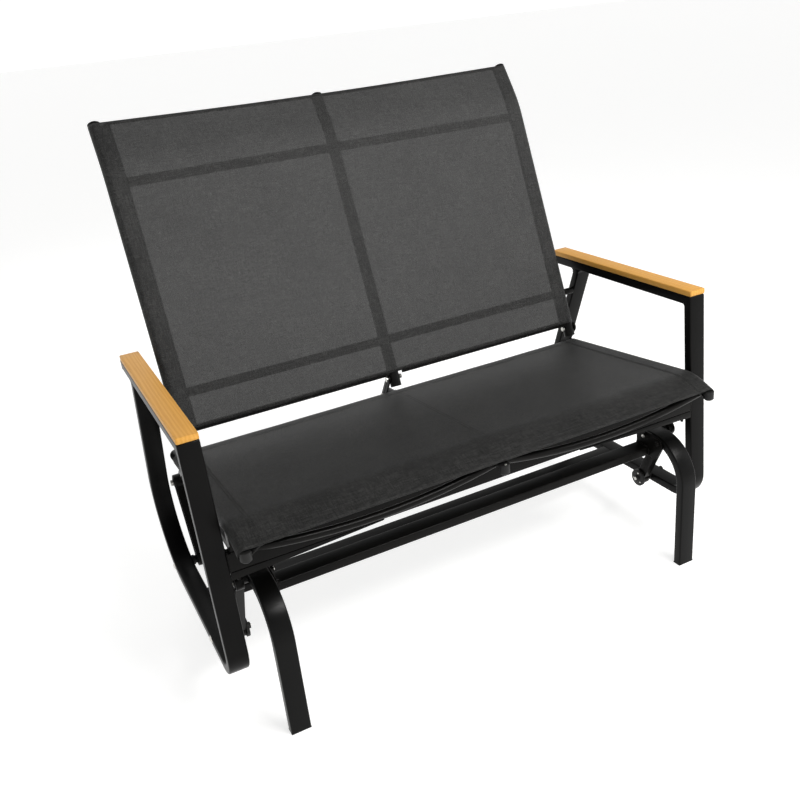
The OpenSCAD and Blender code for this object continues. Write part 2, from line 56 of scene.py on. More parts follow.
# --------------------------------------------------------------------------
# paths and sweeps
# --------------------------------------------------------------------------
def fillet_path(pts, radii, step=3.0, span=None):
    """Points and unit tangents of a path in a plane, with rounded corners."""
    out, tan = [], []

    def put(p, t):
        out.append(np.asarray(p, float))
        tan.append(unit(t))

    pts = [np.asarray(p, float) for p in pts]
    cur = pts[0]
    put(cur, pts[1] - pts[0])
    for i in range(1, len(pts) - 1):
        a, b, c = pts[i - 1], pts[i], pts[i + 1]
        u, v = unit(a - b), unit(c - b)
        half = math.acos(max(-1, min(1, float(u @ v)))) / 2
        d = radii[i] / math.tan(half)
        t0 = b + u * d
        cen = b + unit(u + v) * radii[i] / math.sin(half)
        a0 = math.atan2(*(t0 - cen)[::-1])
        t1 = b + v * d
        a1 = math.atan2(*(t1 - cen)[::-1])
        s = (a1 - a0 + math.pi) % (2 * math.pi) - math.pi
        n = max(3, int(math.ceil(abs(math.degrees(s)) / step)))
        if span:
            k = int(np.linalg.norm(t0 - cur) // span)
            for j in range(1, k + 1):
                put(cur + (t0 - cur) * j / (k + 1), b - a)
        for j in range(n + 1):
            w = a0 + s * j / n
            sg = 1 if s > 0 else -1
            put(cen + radii[i] * np.array([math.cos(w), math.sin(w)]), sg * np.array([-math.sin(w), math.cos(w)]))
        cur = t1
    if span:
        k = int(np.linalg.norm(pts[-1] - cur) // span)
        for j in range(1, k + 1):
            put(cur + (pts[-1] - cur) * j / (k + 1), pts[-1] - pts[-2])
    put(pts[-1], pts[-1] - pts[-2])
    return np.array(out), np.array(tan)


def round_rect(w, h, r, k=4):
    """Profile of a rounded rectangle, anticlockwise."""
    out = []
    for cx, cy, a in ((w / 2 - r, h / 2 - r, 0), (-w / 2 + r, h / 2 - r, 90), (-w / 2 + r, -h / 2 + r, 180), (w / 2 - r, -h / 2 + r, 270)):
        for i in range(k + 1):
            q = math.radians(a + 90 * i / k)
            out.append((cx + r * math.cos(q), cy + r * math.sin(q)))
    return out


def new_object(name, verts, faces, mat, body, smooth=True, uvs=None, sharp=None):
    me = bpy.data.meshes.new(name)
    me.from_pydata([tuple(float(c) for c in v) for v in verts], [], faces)
    me.validate()
    me.update()
    if uvs is not None:
        layer = me.uv_layers.new(name="UVMap")
        idx = np.zeros(len(me.loops), np.int32)
        me.loops.foreach_get("vertex_index", idx)
        if isinstance(uvs, dict):
            flat = np.zeros((len(me.loops), 2), np.float32)
            for p in me.polygons:
                for li in p.loop_indices:
                    flat[li] = uvs[p.index][li - p.loop_start]
        else:
            flat = np.asarray(uvs, np.float32)[idx]
        layer.data.foreach_set("uv", flat.reshape(-1))
    me.polygons.foreach_set("use_smooth", [smooth] * len(me.polygons))
    if sharp:
        me.set_sharp_from_angle(angle=math.radians(sharp))
    ob = bpy.data.objects.new(name, me)
    bpy.context.collection.objects.link(ob)
    me.materials.append(mat)
    if body:
        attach(ob, body)
    return ob


def join(parts):
    """Joins (verts, faces, uvs) lists."""
    v, f, u = [], [], []
    for pv, pf, pu in parts:
        o = len(v)
        v += list(pv)
        f += [tuple(i + o for i in q) for q in pf]
        u += list(pu)
    return v, f, u


def bar_x(x0, x1, y0, z0, dy, dz, r=3.0):
    """A rounded flat bar along X, its ends closed."""
    prof = [(a + y0 + dy / 2, b + z0 + dz / 2) for a, b in round_rect(dy, dz, r)]
    n = len(prof)
    verts = [V(x, p[0], p[1]) for x in (x0, x1) for p in prof]
    uv = [(x * MM, j * MM) for x in (x0, x1) for j in range(n)]
    faces = [(j, (j + 1) % n, n + (j + 1) % n, n + j) for j in range(n)]
    faces.append(tuple(range(n - 1, -1, -1)))
    faces.append(tuple(range(n, 2 * n)))
    faces = [tuple(reversed(q)) for q in faces]
    return verts, faces, uv


def bead(points, r, seed=0, sides=8, closed=False, lump=0.22, step=1.1):
    """A weld bead: a lumpy tube along points, in millimetres (x, y, z)."""
    pts = [np.asarray(p, float) for p in points]
    if closed:
        pts = pts + [pts[0]]
    seg = [np.linalg.norm(pts[i + 1] - pts[i]) for i in range(len(pts) - 1)]
    total = sum(seg)
    n = max(4, int(total / step))
    rnd = random.Random(seed)
    line = []
    for k in range(n + (0 if closed else 1)):
        s = total * k / n
        i = 0
        while i < len(seg) - 1 and s > seg[i]:
            s -= seg[i]
            i += 1
        line.append(pts[i] + (pts[i + 1] - pts[i]) * min(1, s / max(seg[i], 1e-9)))
    line = np.array(line)
    verts, faces, uv = [], [], []
    m = len(line)
    for k in range(m):
        a, b = line[k - 1 if (closed or k) else 0], line[(k + 1) % m if (closed or k < m - 1) else k]
        t = unit(b - a)
        h = np.array([0, 0, 1.0]) if abs(t[2]) < 0.8 else np.array([0, 1.0, 0])
        e1 = unit(np.cross(t, h))
        e2 = np.cross(t, e1)
        rr = r * (1 + lump * math.sin(k * step * 2 * math.pi / 3.3) + rnd.uniform(-0.08, 0.08))
        if not closed and k in (0, m - 1):
            rr *= 0.4
        for j in range(sides):
            q = 2 * math.pi * j / sides
            p = line[k] + rr * (math.cos(q) * e1 + math.sin(q) * e2)
            verts.append(V(*p))
            uv.append((k * step * MM, j * MM))
    for k in range(m if closed else m - 1):
        for j in range(sides):
            a, b = k * sides, ((k + 1) % m) * sides
            faces.append((a + j, b + j, b + (j + 1) % sides, a + (j + 1) % sides))
    if not closed:
        faces.append(tuple(range(sides)))
        faces.append(tuple((m - 1) * sides + j for j in range(sides - 1, -1, -1)))
    return verts, faces, uv


def rect_loop(x, y0, y1, z0, z1):
    return [(x, y0, z0), (x, y1, z0), (x, y1, z1), (x, y0, z1)]


# --------------------------------------------------------------------------
# materials
# --------------------------------------------------------------------------
class Mat:
    def __init__(self, name):
        self.m = bpy.data.materials.new(name)
        self.m.use_nodes = True
        self.t = self.m.node_tree
        self.t.nodes.clear()
        self.out = self.n("ShaderNodeOutputMaterial")
        self.p = self.n("ShaderNodeBsdfPrincipled")
        self.link(self.p.outputs[0], self.out.inputs[0])

    def n(self, kind, **props):
        node = self.t.nodes.new(kind)
        for k, v in props.items():
            if k.startswith("i_"):
                node.inputs[k[2:].replace("_", " ")].default_value = v
            else:
                setattr(node, k, v)
        return node

    def link(self, a, b):
        self.t.links.new(a, b)

    def coords(self, kind="Object", scale=(1, 1, 1), rot=(0, 0, 0)):
        tc = self.n("ShaderNodeTexCoord")
        mp = self.n("ShaderNodeMapping")
        mp.inputs["Scale"].default_value = scale
        mp.inputs["Rotation"].default_value = rot
        self.link(tc.outputs[kind], mp.inputs["Vector"])
        return mp.outputs[0]

    def noise(self, vec, scale, detail=3.0, rough=0.55, dist=0.0):
        n = self.n("ShaderNodeTexNoise")
        n.inputs["Scale"].default_value = scale
        n.inputs["Detail"].default_value = detail
        n.inputs["Roughness"].default_value = rough
        n.inputs["Distortion"].default_value = dist
        self.link(vec, n.inputs["Vector"])
        return n.outputs["Fac"]

    def ramp(self, fac, stops, mode="LINEAR"):
        r = self.n("ShaderNodeValToRGB")
        r.color_ramp.interpolation = mode
        el = r.color_ramp.elements
        while len(el) < len(stops):
            el.new(0.5)
        for e, (pos, col) in zip(el, stops):
            e.position = pos
            e.color = col if hasattr(col, "__len__") else (col, col, col, 1)
        self.link(fac, r.inputs[0])
        return r.outputs[0]

    def math(self, op, a, b=None, c=None):
        m = self.n("ShaderNodeMath", operation=op)
        for i, v in enumerate((a, b, c)):
            if v is None:
                continue
            if hasattr(v, "default_value") or hasattr(v, "is_linked"):
                self.link(v, m.inputs[i])
            else:
                m.inputs[i].default_value = v
        return m.outputs[0]

    def mix(self, fac, a, b, blend="MIX"):
        m = self.n("ShaderNodeMix", data_type="RGBA", blend_type=blend)
        ins = [s for s in m.inputs if s.enabled]
        for sock, v in ((m.inputs[0], fac), (m.inputs[6], a), (m.inputs[7], b)):
            if hasattr(v, "is_linked"):
                self.link(v, sock)
            elif hasattr(v, "__len__"):
                sock.default_value = v if len(v) == 4 else (*v, 1)
            else:
                sock.default_value = v
        return m.outputs[2]

    def bump(self, height, strength, distance, normal=None):
        b = self.n("ShaderNodeBump")
        b.inputs["Strength"].default_value = strength
        b.inputs["Distance"].default_value = distance
        self.link(height, b.inputs["Height"])
        if normal is not None:
            self.link(normal, b.inputs["Normal"])
        return b.outputs[0]


def powder_coat(name, base=(0.0026, 0.0025, 0.0024), wear_and_highlight=0.12, spec=0.085):
    """Satin black powder coat: fine orange peel, lighter convex edges that stand partly for worn paint and partly for
    a painted highlight, dust in the large noise.
    """
    m = Mat(name)
    v = m.coords("Object")
    fine = m.noise(v, 900, 2, 0.5)
    mid = m.noise(v, 210, 2, 0.5)
    big = m.noise(v, 7, 4, 0.6)
    patch = m.ramp(big, [(0.35, (base[0] * 0.82, base[1] * 0.82, base[2] * 0.83, 1)), (0.7, (base[0] * 1.25, base[1] * 1.24, base[2] * 1.2, 1))])
    geo = m.n("ShaderNodeNewGeometry")
    # painted highlight: convex edges (high pointiness) are mixed towards a lighter grey, partly worn paint and partly
    # light catching the edges
    edge = m.ramp(geo.outputs["Pointiness"], [(0.515, 0.0), (0.56, 1.0)])
    edge_mark_noise = m.ramp(m.noise(v, 160, 4, 0.7), [(0.52, 0.0), (0.62, 1.0)])
    rub_and_highlight = m.math("MULTIPLY", m.math("MULTIPLY", edge, edge_mark_noise), wear_and_highlight)
    col = m.mix(rub_and_highlight, patch, (0.035, 0.033, 0.030, 1))
    m.link(col, m.p.inputs["Base Color"])
    rough = m.math("ADD", m.math("MULTIPLY", big, 0.12), m.math("MULTIPLY", fine, 0.06))
    rough = m.math("ADD", rough, 0.22)
    m.link(rough, m.p.inputs["Roughness"])
    m.p.inputs["Specular IOR Level"].default_value = spec
    h = m.math("ADD", m.math("MULTIPLY", fine, 0.35), mid)
    m.link(m.bump(h, 0.22, 0.0004), m.p.inputs["Normal"])
    return m.m


def zinc(name):
    m = Mat(name)
    v = m.coords("Object")
    n1 = m.noise(v, 380, 3, 0.6)
    n2 = m.noise(v, 60, 3, 0.6)
    col = m.ramp(n2, [(0.3, (0.46, 0.45, 0.42, 1)), (0.7, (0.74, 0.73, 0.70, 1))])
    m.link(col, m.p.inputs["Base Color"])
    m.p.inputs["Metallic"].default_value = 1.0
    r = m.math("ADD", m.math("MULTIPLY", n1, 0.22), 0.2)
    m.link(r, m.p.inputs["Roughness"])
    m.link(m.bump(n1, 0.12, 0.0003), m.p.inputs["Normal"])
    return m.m


def black_plastic(name, base=0.007, spec=0.18):
    m = Mat(name)
    v = m.coords("Object")
    n1 = m.noise(v, 1500, 2, 0.5)
    n2 = m.noise(v, 25, 3, 0.6)
    col = m.ramp(n2, [(0.3, (base * 0.8, base * 0.8, base * 0.82, 1)), (0.7, (base * 1.35, base * 1.35, base * 1.3, 1))])
    m.link(col, m.p.inputs["Base Color"])
    m.link(m.math("ADD", m.math("MULTIPLY", n2, 0.15), 0.38), m.p.inputs["Roughness"])
    m.p.inputs["Specular IOR Level"].default_value = spec
    m.link(m.bump(n1, 0.25, 0.0002), m.p.inputs["Normal"])
    return m.m


def teak(name):
    """Yellow-brown oiled wood, grain along Y."""
    m = Mat(name)
    v = m.coords("Object", scale=(1.0, 0.055, 1.0))
    v2 = m.coords("Object", scale=(1.0, 0.016, 1.0))
    wob = m.noise(v, 34, 3, 0.55, 0.6)
    wave = m.n("ShaderNodeTexWave", wave_type="BANDS", bands_direction="X", wave_profile="SIN")
    wave.inputs["Scale"].default_value = 46
    wave.inputs["Distortion"].default_value = 5.5
    wave.inputs["Detail"].default_value = 2.5
    wave.inputs["Detail Scale"].default_value = 1.4
    wave.inputs["Detail Roughness"].default_value = 0.6
    m.link(v, wave.inputs["Vector"])
    fibre = m.noise(v2, 900, 3, 0.7)
    pores = m.ramp(m.noise(v2, 1500, 2, 0.6), [(0.60, 0.0), (0.70, 1.0)])
    base = m.ramp(wave.outputs["Fac"], [(0.0, (0.57, 0.282, 0.052, 1)), (0.45, (0.61, 0.312, 0.062, 1)), (1.0, (0.65, 0.345, 0.080, 1))])
    base = m.mix(m.math("MULTIPLY", wob, 0.32), base, (0.50, 0.235, 0.040, 1))
    base = m.mix(m.math("MULTIPLY", m.ramp(fibre, [(0.35, 0.0), (0.75, 1.0)]), 0.20), base, (0.42, 0.185, 0.030, 1))
    base = m.mix(m.math("MULTIPLY", pores, 0.30), base, (0.24, 0.100, 0.018, 1))
    m.link(base, m.p.inputs["Base Color"])
    m.link(m.math("ADD", m.math("MULTIPLY", fibre, 0.2), 0.40), m.p.inputs["Roughness"])
    m.p.inputs["Specular IOR Level"].default_value = 0.2
    h = m.math("SUBTRACT", m.math("MULTIPLY", fibre, 0.6), m.math("MULTIPLY", pores, 0.8))
    m.link(m.bump(h, 0.35, 0.0004), m.p.inputs["Normal"])
    return m.m


def mesh_cloth(name, base=0.040, see=0.045, spec=0.2, sheen=0.05):
    """Coated polyester mesh: plain weave of flat yarns, UV in metres, slightly see-through."""
    m = Mat(name)
    tc = m.n("ShaderNodeUVMap")
    sep = m.n("ShaderNodeSeparateXYZ")
    m.link(tc.outputs[0], sep.inputs[0])
    U, W = sep.outputs[0], sep.outputs[1]
    pitch = 0.00165
    ku = 2 * math.pi / pitch
    su = m.math("SINE", m.math("MULTIPLY", U, ku / 1.0))
    sw = m.math("SINE", m.math("MULTIPLY", W, ku / 1.0))
    hu = m.math("SINE", m.math("MULTIPLY", U, ku / 2))
    hw = m.math("SINE", m.math("MULTIPLY", W, ku / 2))
    au = m.math("ABSOLUTE", hu)
    aw = m.math("ABSOLUTE", hw)
    over = m.math("MULTIPLY", m.math("COSINE", m.math("MULTIPLY", U, ku / 2)), m.math("COSINE", m.math("MULTIPLY", W, ku / 2)))
    # yarn height: one set of yarns over the other in a checker
    k = m.math("MULTIPLY_ADD", over, 0.5, 0.5)
    height = m.math("ADD", m.math("MULTIPLY", au, k), m.math("MULTIPLY", aw, m.math("SUBTRACT", 1.0, k)))

    def streak(sx, sy, scale, seed):
        mp = m.n("ShaderNodeMapping")
        mp.inputs["Scale"].default_value = (sx, sy, 1)
        mp.inputs["Location"].default_value = (seed, seed * 1.7, seed * 0.3)
        m.link(tc.outputs[0], mp.inputs["Vector"])
        return m.noise(mp.outputs[0], scale, 2, 0.6)

    s1 = streak(1.0, 0.12, 520, 1.3)   # warp yarn tone
    s2 = streak(0.12, 1.0, 520, 4.1)   # weft yarn tone
    s3 = streak(1, 1, 9, 2.2)
    s4 = streak(1, 1, 260, 7.7)
    tone = m.math("ADD", m.math("MULTIPLY", s1, 0.34), m.math("MULTIPLY", s2, 0.34))
    tone = m.math("ADD", tone, m.math("MULTIPLY", s3, 0.12))
    tone = m.math("ADD", tone, m.math("MULTIPLY", s4, 0.20))
    b = base
    col = m.ramp(tone, [(0.40, (b * 0.30, b * 0.30, b * 0.295, 1)), (0.5, (b, b, b * 0.985, 1)), (0.60, (b * 2.3, b * 2.3, b * 2.22, 1))])
    # painted shade and highlight: the colour follows the yarn height, darker in the low parts of the weave and lighter
    # on the raised yarns
    col = m.mix(0.40, col, m.mix(height, (b * 0.35, b * 0.35, b * 0.35, 1), (b * 1.7, b * 1.7, b * 1.65, 1)))
    m.link(col, m.p.inputs["Base Color"])
    m.link(m.math("ADD", m.math("MULTIPLY", s4, 0.16), 0.44), m.p.inputs["Roughness"])
    m.p.inputs["Specular IOR Level"].default_value = spec
    m.p.inputs["Sheen Weight"].default_value = sheen
    m.p.inputs["Sheen Roughness"].default_value = 0.45
    hh = m.math("ADD", height, m.math("MULTIPLY", m.math("ADD", s1, s2), 0.25))
    m.link(m.bump(hh, 0.55, 0.00035), m.p.inputs["Normal"])
    # the small holes between the yarns
    hole = m.math("SUBTRACT", 1.0, m.math("MULTIPLY", m.math("MAXIMUM", au, aw), 1.0))
    see_fac = m.math("ADD", m.math("MULTIPLY", hole, see), see * 0.24)
    alpha = m.math("SUBTRACT", 1.0, see_fac)
    m.link(alpha, m.p.inputs["Alpha"])
    return m.m


def thread(name, base=0.018):
    m = Mat(name)
    v = m.coords("Object")
    n1 = m.noise(v, 2600, 2, 0.6)
    col = m.ramp(n1, [(0.3, (base * 0.6, base * 0.6, base * 0.6, 1)), (0.7, (base * 1.6, base * 1.6, base * 1.55, 1))])
    m.link(col, m.p.inputs["Base Color"])
    m.p.inputs["Roughness"].default_value = 0.6
    m.p.inputs["Specular IOR Level"].default_value = 0.25
    m.link(m.bump(n1, 0.4, 0.0002), m.p.inputs["Normal"])
    return m.m


STEEL = powder_coat("black_powder_coat")
STEEL2 = powder_coat("black_powder_coat_rails", base=(0.0036, 0.0034, 0.0031), wear_and_highlight=0.10)
ROD = powder_coat("black_powder_coat_rods", spec=0.03)
# painted light: the legs get a darker, glossier copy of the frame's paint so that their bends catch a stronger
# highlight while their faces stay dark; the real legs have the same paint as the frame
LEG = powder_coat("black_powder_coat_legs", base=(0.0012, 0.0012, 0.0011), spec=0.115)
ZINC = zinc("zinc_plate")
PLASTIC = black_plastic("black_plastic")
CAP = black_plastic("cap_plastic", base=0.010, spec=0.20)
TEAK = teak("teak_plank")
CLOTH_BACK = mesh_cloth("sling_mesh_back", base=0.018, see=0.40, spec=0.18)
# painted shade: the seat uses a darker, less see-through copy of the same mesh cloth as the back
CLOTH_SEAT = mesh_cloth("sling_mesh_seat", base=0.0148, see=0.08, spec=0.10)
THREAD = thread("sling_thread")
# painted shade: the folded edges of the slings are drawn in an opaque cloth much darker than the sling itself
EDGE = thread("sling_fold", base=0.006)

# --------------------------------------------------------------------------
# CAD nodes that stay: finish, small edge rounding and smooth shading, by modifiers
# --------------------------------------------------------------------------


def smooth_group():
    g = bpy.data.node_groups.new("smooth_by_angle", "GeometryNodeTree")
    g.interface.new_socket("Geometry", in_out="INPUT", socket_type="NodeSocketGeometry")
    g.interface.new_socket("Geometry", in_out="OUTPUT", socket_type="NodeSocketGeometry")
    a = g.nodes.new("NodeGroupInput")
    z = g.nodes.new("NodeGroupOutput")
    ang = g.nodes.new("GeometryNodeInputMeshEdgeAngle")
    cmp = g.nodes.new("FunctionNodeCompare")
    cmp.data_type = "FLOAT"
    cmp.operation = "LESS_EQUAL"
    cmp.inputs[1].default_value = math.radians(32)
    g.links.new(ang.outputs[0], cmp.inputs[0])
    se = g.nodes.new("GeometryNodeSetShadeSmooth")
    se.domain = "EDGE"
    sf = g.nodes.new("GeometryNodeSetShadeSmooth")
    sf.domain = "FACE"
    sf.inputs["Shade Smooth"].default_value = True
    g.links.new(a.outputs[0], sf.inputs[0])
    g.links.new(sf.outputs[0], se.inputs[0])
    g.links.new(cmp.outputs[0], se.inputs["Shade Smooth"])
    g.links.new(se.outputs[0], z.inputs[0])
    return g


SMOOTH = smooth_group()


def dress(node, mat, bevel=None, segments=2, angle=35):
    ob = NODES[node]
    ob.data.materials.clear()
    ob.data.materials.append(mat)
    w = ob.modifiers.new("weld", "WELD")
    w.merge_threshold = 2e-6
    if bevel:
        b = ob.modifiers.new("bevel", "BEVEL")
        b.width = bevel * MM
        b.segments = segments
        b.limit_method = "ANGLE"
        b.angle_limit = math.radians(angle)
        b.use_clamp_overlap = True
    s = ob.modifiers.new("smooth", "NODES")
    s.node_group = SMOOTH
    return ob


for n, m, b in (
    ("foot_caps", PLASTIC, 0.8),
    ("crossbar_bolts", STEEL2, 0.5),
    ("upper_pivot_bolts", ZINC, 0.6),
    ("upper_pivot_nuts", STEEL2, 0.6),
    ("front_left_link", STEEL2, 0.7),
    ("front_right_link", STEEL2, 0.7),
    ("rear_left_link", STEEL2, 0.7),
    ("rear_right_link", STEEL2, 0.7),
    ("front_left_bushes", PLASTIC, 0.5),
    ("front_right_bushes", PLASTIC, 0.5),
    ("rear_left_bushes", PLASTIC, 0.5),
    ("rear_right_bushes", PLASTIC, 0.5),
    ("lower_pivot_bolts", ZINC, 0.5),
    ("lower_pivot_nuts", CAP, 0.5),
    ("armrest_screws", ZINC, 0.4),
    ("armrest_end_plugs", PLASTIC, 0.8),
    ("front_rail_brackets", STEEL2, 0.8),
    ("front_rail_bolts", STEEL2, 0.4),
    ("lower_rail_stubs", STEEL2, 0.8),
    ("lower_rail_bolts", STEEL2, 0.4),
    ("seat_left_rail", STEEL, None),
    ("seat_right_rail", STEEL, None),
    ("seat_centre_rail", STEEL, None),
    ("seat_rail_supports", STEEL2, 0.6),
    ("seat_rail_caps", CAP, 0.6),
    ("front_seat_spreaders", STEEL2, None),
    ("back_left_tube", STEEL, None),
    ("back_right_tube", STEEL, None),
    ("back_centre_tube", STEEL, None),
    ("back_tube_caps", CAP, 0.5),
    ("back_upper_crossbars", STEEL2, None),
    ("back_lower_crossbars", STEEL2, None),
    ("back_side_brackets", STEEL2, 0.6),
    ("back_centre_bracket", STEEL2, 0.6),
    ("back_spacers", STEEL2, 0.6),
    ("back_studs", ZINC, 0.3),
    ("back_bolts", ZINC, 0.6),
    ("back_hem_rods", ROD, None),
):
    dress(n, m, b)

# --------------------------------------------------------------------------
# flat tube members, with rounded edges and weld beads
# --------------------------------------------------------------------------
XO, XI, BO, BI = 570.0, 530.0, 493.0, 453.0
TUBE = round_rect(40, 20, 3.2, 5)
UP_DIR = np.array([-0.3754, 0.9269])
UP_TAN = np.array([446.0, 265.0]) + 142 * np.array([UP_DIR[1], -UP_DIR[0]])


def up_at(z):
    return UP_TAN + UP_DIR * ((z - UP_TAN[1]) / UP_DIR[1])


REAR_V = UP_TAN - UP_DIR * ((UP_TAN[1] - 123) / UP_DIR[1])
LOOP = [np.array(q, float) for q in ((566, 594), (88, 594), (60.5, 123), REAR_V, up_at(584.5))]
LOOP_R = [0, -1, 52, 142, 0]  # -1: the tight mitred bend, 4 mm round outside and 7 mm inside


def left_of(a, b):
    u = unit(b - a)
    return np.array([-u[1], u[0]])


def turn_at(pts, i):
    u, v = unit(pts[i] - pts[i - 1]), unit(pts[i + 1] - pts[i])
    return math.degrees(math.atan2(u[0] * v[1] - u[1] * v[0], float(u @ v)))


def offset_line(pts, radii, off, span=30.0):
    """Points at a distance off to the left of a path; the same number of them for every off."""
    out = [pts[0] + off * left_of(pts[0], pts[1])]
    for i in range(1, len(pts) - 1):
        n1, n2 = left_of(pts[i - 1], pts[i]), left_of(pts[i], pts[i + 1])
        v = pts[i] + off * (n1 + n2) / (1 + float(n1 @ n2))
        s = turn_at(pts, i)
        sg = math.copysign(1, s) * off
        q = radii[i] - sg if radii[i] >= 0 else (17 - abs(off) if sg > 0 else abs(off) - 6)
        a, b = unit(pts[i - 1] - pts[i]), unit(pts[i + 1] - pts[i])
        half = math.acos(max(-1, min(1, float(a @ b)))) / 2
        c = v + unit(a + b) * q / math.sin(half)
        t0 = v + a * q / math.tan(half)
        a0 = math.atan2(*(t0 - c)[::-1])
        n = 12 if radii[i] < 0 else max(6, int(math.ceil(abs(s) / 2)))
        k = int(np.linalg.norm(pts[i] - pts[i - 1]) // span)
        cur = out[-1]
        out += [cur + (t0 - cur) * j / k for j in range(1, k)]
        out += [c + q * np.array([math.cos(a0 + math.radians(s) * j / n), math.sin(a0 + math.radians(s) * j / n)]) for j in range(n + 1)]
    end = pts[-1] + off * left_of(pts[-2], pts[-1])
    k = int(np.linalg.norm(pts[-1] - pts[-2]) // span)
    cur = out[-1]
    out += [cur + (end - cur) * j / k for j in range(1, k)]
    out.append(end)
    return np.array(out)


def sweep_band(x_mid, pts, radii, thick, profile, cap=(True, True)):
    """A flat tube between the two offset lines of a path; profile: (x, normal) in millimetres."""
    lo, hi = offset_line(pts, radii, -thick / 2), offset_line(pts, radii, thick / 2)
    verts, faces, uv = [], [], []
    n = len(profile)
    per = [0.0]
    for i in range(1, n):
        per.append(per[-1] + math.dist(profile[i], profile[i - 1]))
    s = 0.0
    for i in range(len(lo)):
        if i:
            s += float(np.linalg.norm((lo[i] + hi[i] - lo[i - 1] - hi[i - 1]) / 2))
        for j, (a, b) in enumerate(profile):
            q = lo[i] + (hi[i] - lo[i]) * (b / thick + 0.5)
            verts.append(V(x_mid + a, q[0], q[1]))
            uv.append((s * MM, per[j] * MM))
    for i in range(len(lo) - 1):
        for j in range(n):
            k = (j + 1) % n
            faces.append((i * n + j, i * n + k, (i + 1) * n + k, (i + 1) * n + j))
    if cap[0]:
        faces.append(tuple(range(n - 1, -1, -1)))
    if cap[1]:
        m = (len(lo) - 1) * n
        faces.append(tuple(m + j for j in range(n)))
    return verts, faces, uv


def side_frame(side):
    parts = [sweep_band(side * 550, LOOP, LOOP_R, 20, TUBE, (True, False))]
    # weld fillets where the upright meets the armrest tube
    fillet = []
    for sgn in (-1, 1):
        for k in range(6):
            q = math.radians(90 * k / 5)
            r = 9.0
            z = 584 - r + r * math.sin(q)
            y = up_at(z)[0] + sgn * (10.8 + r - r * math.cos(q))
            fillet.append((sgn, y, z))
    lhs = [(y, z) for s, y, z in fillet if s < 0]
    rhs = [(y, z) for s, y, z in fillet if s > 0]
    verts, faces, uv = [], [], []
    for (y0, z0), (y1, z1) in zip(lhs, rhs):
        for x, y in ((XI + 0.6, y0), (XO - 0.6, y0), (XO - 0.6, y1), (XI + 0.6, y1)):
            verts.append(V(side * x, y, z0 + 0.01))
            uv.append((x * MM, z0 * MM))
    for i in range(5):
        for j in range(4):
            k = (j + 1) % 4
            f = (i * 4 + j, i * 4 + k, i * 4 + 4 + k, i * 4 + 4 + j)
            faces.append(f if side > 0 else tuple(reversed(f)))
    parts.append((verts, faces, uv))
    v, f, u = join(parts)
    name = ("left" if side < 0 else "right") + "_side_frame_tube"
    ob = new_object(name, v, f, STEEL, "seat_frame", uvs=u, sharp=42)
    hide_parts(("left" if side < 0 else "right") + "_side_frame")
    return ob


BASE_PTS = [np.array(q, float) for q in ((10, 3), (10, 290), (681, 290), (681, 3))]


def base_leg(side):
    v, f, u = sweep_band(side * 473, BASE_PTS, [0, 90, 90, 0], 20, TUBE)
    name = ("left" if side < 0 else "right") + "_base_leg_tube"
    ob = new_object(name, v, f, LEG, "base", uvs=u, sharp=42)
    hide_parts(("left" if side < 0 else "right") + "_base_leg")
    return ob


for s in (-1, 1):
    side_frame(s)
    base_leg(s)


def plate_yz(x0, x1, outline, r=0.6):
    """A flat plate from an outline in (y, z), its rim slightly eased."""
    n = len(outline)
    c = np.mean(np.array(outline), axis=0)

    def inset(d):
        out = []
        for i in range(n):
            a, b, e = (np.array(outline[(i + k) % n], float) for k in (-1, 0, 1))
            u, w = unit(b - a), unit(e - b)
            nn = unit(np.array([-u[1], u[0]]) + np.array([-w[1], w[0]]))
            if (c - b) @ nn < 0:
                nn = -nn
            out.append(b + nn * d)
        return out

    rings = [(x0, inset(r)), (x0 + r, outline), (x1 - r, outline), (x1, inset(r))]
    verts = [V(x, p[0], p[1]) for x, ring in rings for p in ring]
    uv = [(p[0] * MM, p[1] * MM) for x, ring in rings for p in ring]
    faces = []
    for k in range(3):
        for i in range(n):
            j = (i + 1) % n
            faces.append((k * n + i, (k + 1) * n + i, (k + 1) * n + j, k * n + j))
    faces.append(tuple(range(n)))
    faces.append(tuple(3 * n + i for i in range(n - 1, -1, -1)))
    return verts, faces, uv


def round_outline(pts, r, k=4):
    path = []
    n = len(pts)
    for i in range(n):
        a, b, c = (np.array(pts[(i + j) % n], float) for j in (-1, 0, 1))
        u, v = unit(a - b), unit(c - b)
        half = math.acos(max(-1, min(1, float(u @ v)))) / 2
        d = r / math.tan(half)
        cen = b + unit(u + v) * r / math.sin(half)
        t0, t1 = b + u * d, b + v * d
        a0, a1 = math.atan2(*(t0 - cen)[::-1]), math.atan2(*(t1 - cen)[::-1])
        s = (a1 - a0 + math.pi) % (2 * math.pi) - math.pi
        path += [tuple(cen + r * np.array([math.cos(a0 + s * j / k), math.sin(a0 + s * j / k)])) for j in range(k + 1)]
    return path


PLATE = [(84, 242), (146, 242), (146, 299), (98, 299), (70, 291), (62, 276)]


def mirror_y(o):
    return [(691 - y, z) for y, z in o][::-1]


def crossbar(name, node, rear):
    out = round_outline(PLATE, 4)
    y0 = 104
    if rear:
        out = mirror_y(out)
        y0 = 691 - 144
    parts = [bar_x(-BI + 4, BI - 4, y0, 244, 40, 20, 3.0)]
    for s in (-1, 1):
        a, b = sorted((s * (BI - 4), s * BI))
        p = plate_yz(a, b, out)
        parts.append(p)
        parts.append(bead(rect_loop(s * (BI - 4.6), y0 + 0.6, y0 + 39.4, 244.6, 263.4), 2.0, seed=int(y0) + s, closed=True))
    v, f, u = join(parts)
    ob = new_object(name, v, f, STEEL2, "base", uvs=u, sharp=42)
    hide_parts(node)
    return ob


crossbar("front_base_crossbar_tube", "front_base_crossbar", False)
crossbar("rear_base_crossbar_tube", "rear_base_crossbar", True)

